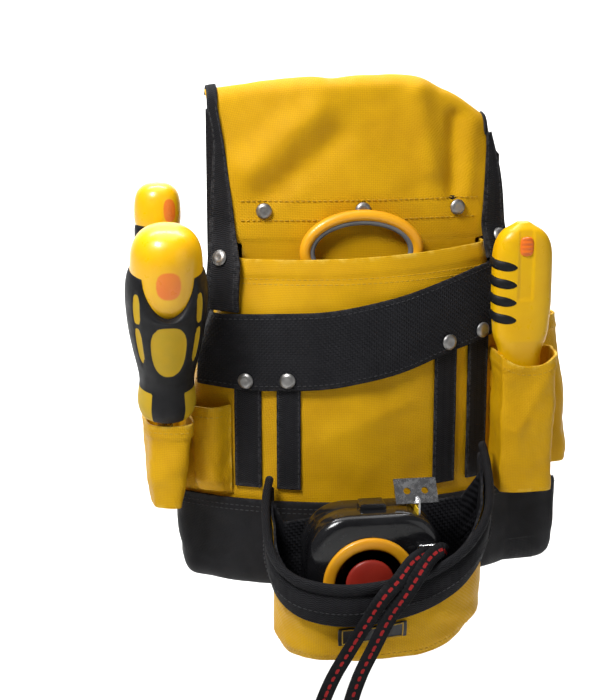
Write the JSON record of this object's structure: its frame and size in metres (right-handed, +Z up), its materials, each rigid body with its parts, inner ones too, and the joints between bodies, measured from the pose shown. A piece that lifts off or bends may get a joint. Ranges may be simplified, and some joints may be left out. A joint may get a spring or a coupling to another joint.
{
  "type": "electrician tool pouch",
  "caption": "Belt-hung fabric tool pouch with a belt tunnel, main pocket, side pockets and a hooped front tape pocket, carrying hand tools that lift out.",
  "frame": {"origin": "centre of the belt tunnel", "axes": "+Z up, +Y from the pouch's front to its back face against the hip, +X to the right seen from the front"},
  "size_m": [0.2897, 0.1523, 0.4239],
  "materials": {
    "black_padding": "coarse padded nylon",
    "yellow_fabric": "coated woven nylon",
    "black_webbing": "ribbed polyester webbing",
    "boot_vinyl": "grained vinyl-coated base",
    "label_rubber": "blank rubber patch",
    "rivet_steel": "nickel-plated, slightly dulled",
    "yellow_plastic": "satin moulded",
    "black_rubber": "soft moulded grip",
    "orange_plastic": "satin moulded",
    "grey_rubber": "soft ring lining",
    "black_gloss_plastic": "glossy moulded",
    "red_plastic": "satin moulded",
    "tape_yellow_steel": "painted spring steel",
    "strap_webbing": "webbing with a red centre line",
    "tool_steel": "plated steel"
  },
  "bodies": {
    "pouch": {"back_panel": "black_padding", "base_boot": "boot_vinyl", "belt_tunnel_panel": "yellow_fabric", "label_patch": "label_rubber", "main_pocket_panel": "yellow_fabric", "pocket_left_front": "yellow_fabric", "pocket_left_side": "yellow_fabric", "pocket_right_front": "yellow_fabric", "pocket_right_side": "yellow_fabric", "rivet_strap_left_inner": "rivet_steel", "rivet_strap_left_outer": "rivet_steel", "rivet_strap_right_inner": "rivet_steel", "rivet_strap_right_outer": "rivet_steel", "rivet_tunnel_centre": "rivet_steel", "rivet_tunnel_left": "rivet_steel", "rivet_tunnel_right": "rivet_steel", "rivet_webbing_left": "rivet_steel", "rivet_webbing_right": "rivet_steel", "strap_left_inner": "black_webbing", "strap_left_outer": "black_webbing", "strap_right_inner": "black_webbing", "strap_right_outer": "black_webbing", "tape_pocket_bag": "yellow_fabric", "tape_pocket_floor": "yellow_fabric", "tape_pocket_rear": "yellow_fabric", "tape_pocket_rim": "black_webbing", "tool_band": "black_webbing", "tunnel_base_bar": "black_padding", "tunnel_webbing_left": "black_webbing", "tunnel_webbing_right": "black_webbing"},
    "driver_front": {"driver_front_grip": "black_rubber", "driver_front_handle": "yellow_plastic", "driver_front_shaft": "tool_steel"},
    "driver_rear": {"driver_rear_grip": "black_rubber", "driver_rear_handle": "yellow_plastic", "driver_rear_shaft": "tool_steel"},
    "knife": {"knife_case_front": "yellow_plastic", "knife_case_rear": "yellow_plastic", "knife_grip_ribs": "black_rubber"},
    "knife_carriage": {"knife_slider": "orange_plastic", "knife_blade": "tool_steel"},
    "scissors": {"scissors_handle_a": "orange_plastic", "scissors_lining_a": "grey_rubber", "scissors_blade_a": "tool_steel", "scissors_pivot_screw": "tool_steel"},
    "scissors_swing": {"scissors_handle_b": "orange_plastic", "scissors_lining_b": "grey_rubber", "scissors_blade_b": "tool_steel"},
    "tape": {"tape_case_front": "black_gloss_plastic", "tape_case_rear": "black_gloss_plastic", "tape_face_ring": "yellow_plastic", "tape_hub": "red_plastic", "tape_spool": "tape_yellow_steel", "tape_strap_anchor": "tool_steel", "wrist_strap": "strap_webbing"},
    "tape_lock": {"tape_lock_button": "orange_plastic"},
    "tape_end": {"tape_blade": "tape_yellow_steel", "tape_hook": "tool_steel"}
  },
  "joints": [
    {"name": "driver_front_lift", "type": "slide", "parent": "pouch", "child": "driver_front", "axis": [0, -0.2419, 0.9703], "range_m": [0, 0.09]},
    {"name": "driver_rear_lift", "type": "slide", "parent": "pouch", "child": "driver_rear", "axis": [0, 0, 1], "range_m": [0, 0.12]},
    {"name": "knife_lift", "type": "slide", "parent": "pouch", "child": "knife", "axis": [0, 0, 1], "range_m": [0, 0.1]},
    {"name": "knife_slide", "type": "slide", "parent": "knife", "child": "knife_carriage", "axis": [0, 0, -1], "range_m": [0, 0.02]},
    {"name": "scissors_lift", "type": "slide", "parent": "pouch", "child": "scissors", "axis": [0, 0, 1], "range_m": [0, 0.17]},
    {"name": "scissors_open", "type": "hinge", "parent": "scissors", "child": "scissors_swing", "pos_m": [-0.014, -0.0218, -0.128], "axis": [0, -1, 0], "range_deg": [0, 5]},
    {"name": "tape_lift", "type": "slide", "parent": "pouch", "child": "tape", "axis": [0, 0, 1], "range_m": [0, 0.1]},
    {"name": "tape_lock_slide", "type": "slide", "parent": "tape", "child": "tape_lock", "axis": [1, 0, 0], "range_m": [0, 0.003]},
    {"name": "tape_pull", "type": "slide", "parent": "tape", "child": "tape_end", "axis": [0, 0, 1], "range_m": [0, 0.03]}
  ]
}
